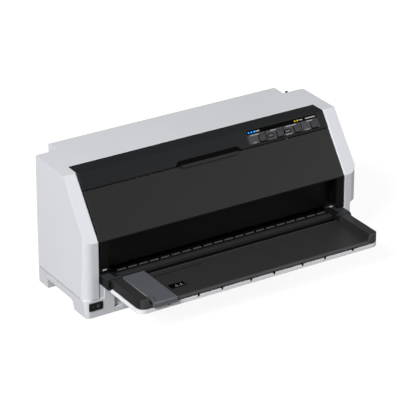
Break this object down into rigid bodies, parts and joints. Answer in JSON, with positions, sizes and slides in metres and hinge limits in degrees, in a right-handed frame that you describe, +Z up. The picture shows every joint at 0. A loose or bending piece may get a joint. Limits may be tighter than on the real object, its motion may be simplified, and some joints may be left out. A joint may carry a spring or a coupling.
{
  "type": "dot matrix printer",
  "caption": "Flatbed dot matrix printer with a hinged front cover, paper tray with sliding edge guide, paper feed train, print carriage on a rod and control buttons",
  "frame": {"origin": "centre of the footprint, on the table under the feet", "axes": "+X to the right as the operator sees it, -Y towards the operator (tray), +Z up"},
  "size_m": [0.48, 0.28, 0.206],
  "materials": {
    "white_plastic": "fine matt texture, cool white",
    "black_gloss_band": "smooth black",
    "black_plastic": "matt black",
    "dark_cover": "dark charcoal, satin",
    "tray_black": "dark charcoal, satin",
    "panel_grey": "grey, satin",
    "button_grey": "grey, satin",
    "guide_grey": "mid grey, satin",
    "pad_grey": "light grey, worn",
    "blue_lens": "clear blue lens",
    "yellow_lens": "clear yellow lens",
    "board_green": "solder mask over glass laminate",
    "rubber": "matt black rubber",
    "steel": "zinc-plated sheet steel",
    "bright_shaft": "ground and plated",
    "pinch_grey": "moulded grey",
    "nylon": "natural moulded nylon",
    "brass": "machined",
    "motor_metal": "dark zinc coating",
    "head_alloy": "cast and blackened in places",
    "ink_fabric": "inked nylon ribbon",
    "socket_grey": "moulded insulation"
  },
  "bodies": {
    "chassis": {"lower_case": "white_plastic", "upper_case": "white_plastic", "control_bezel": "black_gloss_band", "control_panel": "panel_grey", "panel_board": "board_green", "blue_lamps": "blue_lens", "yellow_lamps": "yellow_lens", "power_switch": "black_plastic", "rubber_feet": "rubber", "tray_shell": "white_plastic", "tray_table": "tray_black", "tray_brackets": "black_plastic", "front_guide": "black_plastic", "rear_guide": "black_plastic", "platen": "rubber", "feed_motor": "motor_metal", "shaft_bushes": "nylon", "left_frame": "steel", "right_frame": "steel", "front_beam": "steel", "rear_beam": "steel", "carriage_rod": "bright_shaft", "front_rail": "steel", "timing_belt": "rubber", "idler_bracket": "steel", "motor_bracket": "steel", "carriage_motor": "motor_metal", "main_board": "board_green", "power_supply": "steel", "interface_ports": "socket_grey", "mains_inlet": "black_plastic", "knob_well": "white_plastic", "guide_pads": "pad_grey"},
    "front_cover": {"front_cover": "dark_cover"},
    "rear_cover": {"rear_cover": "white_plastic"},
    "edge_guide": {"edge_guide": "guide_grey"},
    "pause_button": {"pause_button": "button_grey"},
    "tear_button": {"tear_button": "button_grey"},
    "feed_button": {"feed_button": "button_grey"},
    "load_button": {"load_button": "button_grey"},
    "power_rocker": {"power_rocker": "black_plastic"},
    "release_lever": {"release_lever": "black_plastic"},
    "front_feed": {"front_feed_shaft": "bright_shaft", "front_feed_rollers": "rubber", "front_feed_gear": "nylon", "feed_knob": "black_plastic"},
    "rear_feed": {"rear_feed_shaft": "bright_shaft", "rear_feed_rollers": "rubber", "rear_feed_gear": "nylon"},
    "feed_idler": {"feed_idler_gear": "nylon"},
    "feed_pinion": {"feed_pinion": "brass"},
    "front_pinch": {"front_pinch_rollers": "pinch_grey"},
    "rear_pinch": {"rear_pinch_rollers": "pinch_grey"},
    "carriage": {"carriage": "black_plastic", "print_head": "head_alloy", "ribbon_cartridge": "black_plastic", "ribbon": "ink_fabric"},
    "ribbon_knob": {"ribbon_knob": "black_plastic"},
    "drive_pulley": {"drive_pulley": "brass"},
    "idler_pulley": {"idler_pulley": "nylon"}
  },
  "joints": [
    {"name": "front_cover_hinge", "type": "hinge", "parent": "chassis", "child": "front_cover", "pos_m": [0, -0.03, 0.076], "axis": [1, 0, 0], "range_deg": [0, 90]},
    {"name": "rear_cover_hinge", "type": "hinge", "parent": "chassis", "child": "rear_cover", "pos_m": [0, 0.1105, 0.061], "axis": [-1, 0, 0], "range_deg": [0, 85]},
    {"name": "edge_guide_slide", "type": "slide", "parent": "chassis", "child": "edge_guide", "axis": [1, 0, 0], "range_m": [-0.003, 0.08]},
    {"name": "pause_button_press", "type": "slide", "parent": "chassis", "child": "pause_button", "axis": [0, 0.8074, -0.59], "range_m": [0, 0.0008], "stiffness_N_per_m": 1200, "springref_m": -0.0001},
    {"name": "tear_button_press", "type": "slide", "parent": "chassis", "child": "tear_button", "axis": [0, 0.8074, -0.59], "range_m": [0, 0.0008], "stiffness_N_per_m": 1200, "springref_m": -0.0001},
    {"name": "feed_button_press", "type": "slide", "parent": "chassis", "child": "feed_button", "axis": [0, 0.8074, -0.59], "range_m": [0, 0.0008], "stiffness_N_per_m": 1200, "springref_m": -0.0001},
    {"name": "load_button_press", "type": "slide", "parent": "chassis", "child": "load_button", "axis": [0, 0.8074, -0.59], "range_m": [0, 0.0008], "stiffness_N_per_m": 1200, "springref_m": -0.0001},
    {"name": "power_rocker_tilt", "type": "hinge", "parent": "chassis", "child": "power_rocker", "pos_m": [-0.2225, -0.0315, 0.0192], "axis": [0, 0, 1], "range_deg": [0, 16]},
    {"name": "release_lever_tilt", "type": "hinge", "parent": "chassis", "child": "release_lever", "pos_m": [0.2084, 0.104, 0.132], "axis": [-1, 0, 0], "range_deg": [0, 15]},
    {"name": "front_feed_spin", "type": "hinge", "parent": "chassis", "child": "front_feed", "pos_m": [0, 0, 0.057], "axis": [1, 0, 0], "continuous": true},
    {"name": "rear_feed_spin", "type": "hinge", "parent": "chassis", "child": "rear_feed", "pos_m": [0, 0.072, 0.057], "axis": [1, 0, 0], "continuous": true},
    {"name": "feed_idler_spin", "type": "hinge", "parent": "chassis", "child": "feed_idler", "pos_m": [-0.2094, 0.036, 0.057], "axis": [1, 0, 0], "continuous": true},
    {"name": "feed_pinion_spin", "type": "hinge", "parent": "chassis", "child": "feed_pinion", "pos_m": [-0.2094, 0.05451, 0.03494], "axis": [1, 0, 0], "continuous": true},
    {"name": "front_pinch_spin", "type": "hinge", "parent": "chassis", "child": "front_pinch", "pos_m": [0, 0, 0.0704], "axis": [1, 0, 0], "continuous": true},
    {"name": "rear_pinch_spin", "type": "hinge", "parent": "chassis", "child": "rear_pinch", "pos_m": [0, 0.072, 0.0704], "axis": [1, 0, 0], "continuous": true},
    {"name": "carriage_slide", "type": "slide", "parent": "chassis", "child": "carriage", "axis": [1, 0, 0], "range_m": [-0.16, 0.16]},
    {"name": "ribbon_knob_spin", "type": "hinge", "parent": "carriage", "child": "ribbon_knob", "pos_m": [-0.024, 0.004, 0.118], "axis": [0, 0, 1], "continuous": true},
    {"name": "drive_pulley_spin", "type": "hinge", "parent": "chassis", "child": "drive_pulley", "pos_m": [0.187, 0.09, 0.09], "axis": [0, 0, 1], "continuous": true},
    {"name": "idler_pulley_spin", "type": "hinge", "parent": "chassis", "child": "idler_pulley", "pos_m": [-0.193, 0.09, 0.09], "axis": [0, 0, 1], "continuous": true}
  ],
  "couplings": [
    {"joint": "rear_feed_spin", "follows": "front_feed_spin", "ratio": 1},
    {"joint": "feed_idler_spin", "follows": "front_feed_spin", "ratio": -0.66667},
    {"joint": "feed_pinion_spin", "follows": "front_feed_spin", "ratio": 2},
    {"joint": "front_pinch_spin", "follows": "front_feed_spin", "ratio": -1.6},
    {"joint": "rear_pinch_spin", "follows": "front_feed_spin", "ratio": -1.6},
    {"joint": "drive_pulley_spin", "follows": "carriage_slide", "rad_per_m": 111.11},
    {"joint": "idler_pulley_spin", "follows": "carriage_slide", "rad_per_m": 111.11}
  ]
}
